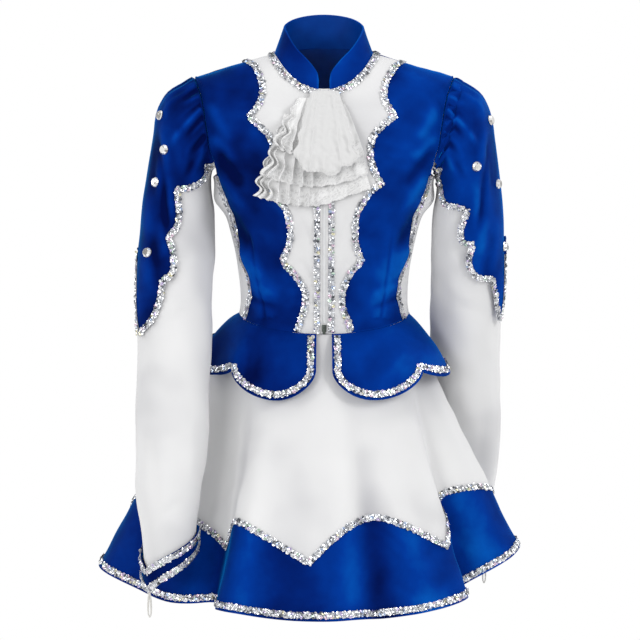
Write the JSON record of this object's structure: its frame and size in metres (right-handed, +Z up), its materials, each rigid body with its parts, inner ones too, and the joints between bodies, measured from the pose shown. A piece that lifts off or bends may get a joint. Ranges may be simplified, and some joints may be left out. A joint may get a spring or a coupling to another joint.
{
  "type": "color guard dress",
  "caption": "Long-sleeved stage dress in worn form with stand collar, zip front, lace jabot, lobed peplum and flared skirt with a scalloped band.",
  "frame": {"origin": "midway between the two points where the shoulder seams meet the collar", "axes": "+Z up, +X to the wearer's left, the front faces -Y"},
  "size_m": [0.5748, 0.5034, 0.7881],
  "materials": {
    "blue_velvet": "short-pile velvet with a bright edge sheen",
    "white_cloth": "smooth matt knit",
    "white_lace": "sheer matt lace",
    "sequin_trim": "silver hologram sequins",
    "crystal": "faceted silver-backed stone",
    "zip_metal": "satin",
    "zip_plastic": "satin",
    "elastic": "woven elastic"
  },
  "bodies": {
    "root": {"plastron_right": "white_cloth", "front_panel_right": "blue_velvet", "side_panel_right": "white_cloth", "plastron_left": "white_cloth", "front_panel_left": "blue_velvet", "side_panel_left": "white_cloth", "back": "blue_velvet", "collar": "blue_velvet", "collar_trim": "sequin_trim", "plastron_trim_right": "sequin_trim", "side_trim_right": "sequin_trim", "back_trim_right": "sequin_trim", "zip_braid_right": "sequin_trim", "plastron_trim_left": "sequin_trim", "side_trim_left": "sequin_trim", "back_trim_left": "sequin_trim", "zip_braid_left": "sequin_trim", "zip_tape": "white_cloth", "zip_chain": "zip_plastic", "zip_slider": "zip_metal", "peplum_right": "blue_velvet", "peplum_trim_right": "sequin_trim", "peplum_left": "blue_velvet", "peplum_trim_left": "sequin_trim", "skirt_front": "white_cloth", "hem_band_front": "blue_velvet", "band_trim_front": "sequin_trim", "hem_trim_front": "sequin_trim", "skirt_back": "white_cloth", "hem_band_back": "blue_velvet", "band_trim_back": "sequin_trim", "hem_trim_back": "sequin_trim", "sleeve_right": "white_cloth", "oversleeve_right": "blue_velvet", "oversleeve_trim_right": "sequin_trim", "cuff_right": "blue_velvet", "cuff_upper_trim_right": "sequin_trim", "cuff_lower_trim_right": "sequin_trim", "finger_loop_right": "elastic", "stone_right_1": "crystal", "stone_right_2": "crystal", "stone_right_3": "crystal", "stone_right_4": "crystal", "sleeve_left": "white_cloth", "oversleeve_left": "blue_velvet", "oversleeve_trim_left": "sequin_trim", "cuff_left": "blue_velvet", "cuff_upper_trim_left": "sequin_trim", "cuff_lower_trim_left": "sequin_trim", "finger_loop_left": "elastic", "stone_left_1": "crystal", "stone_left_2": "crystal", "stone_left_3": "crystal", "stone_left_4": "crystal", "jabot_lower": "white_lace", "jabot_middle": "white_lace", "jabot_upper": "white_lace", "jabot_front": "white_lace"}
  },
  "joints": []
}
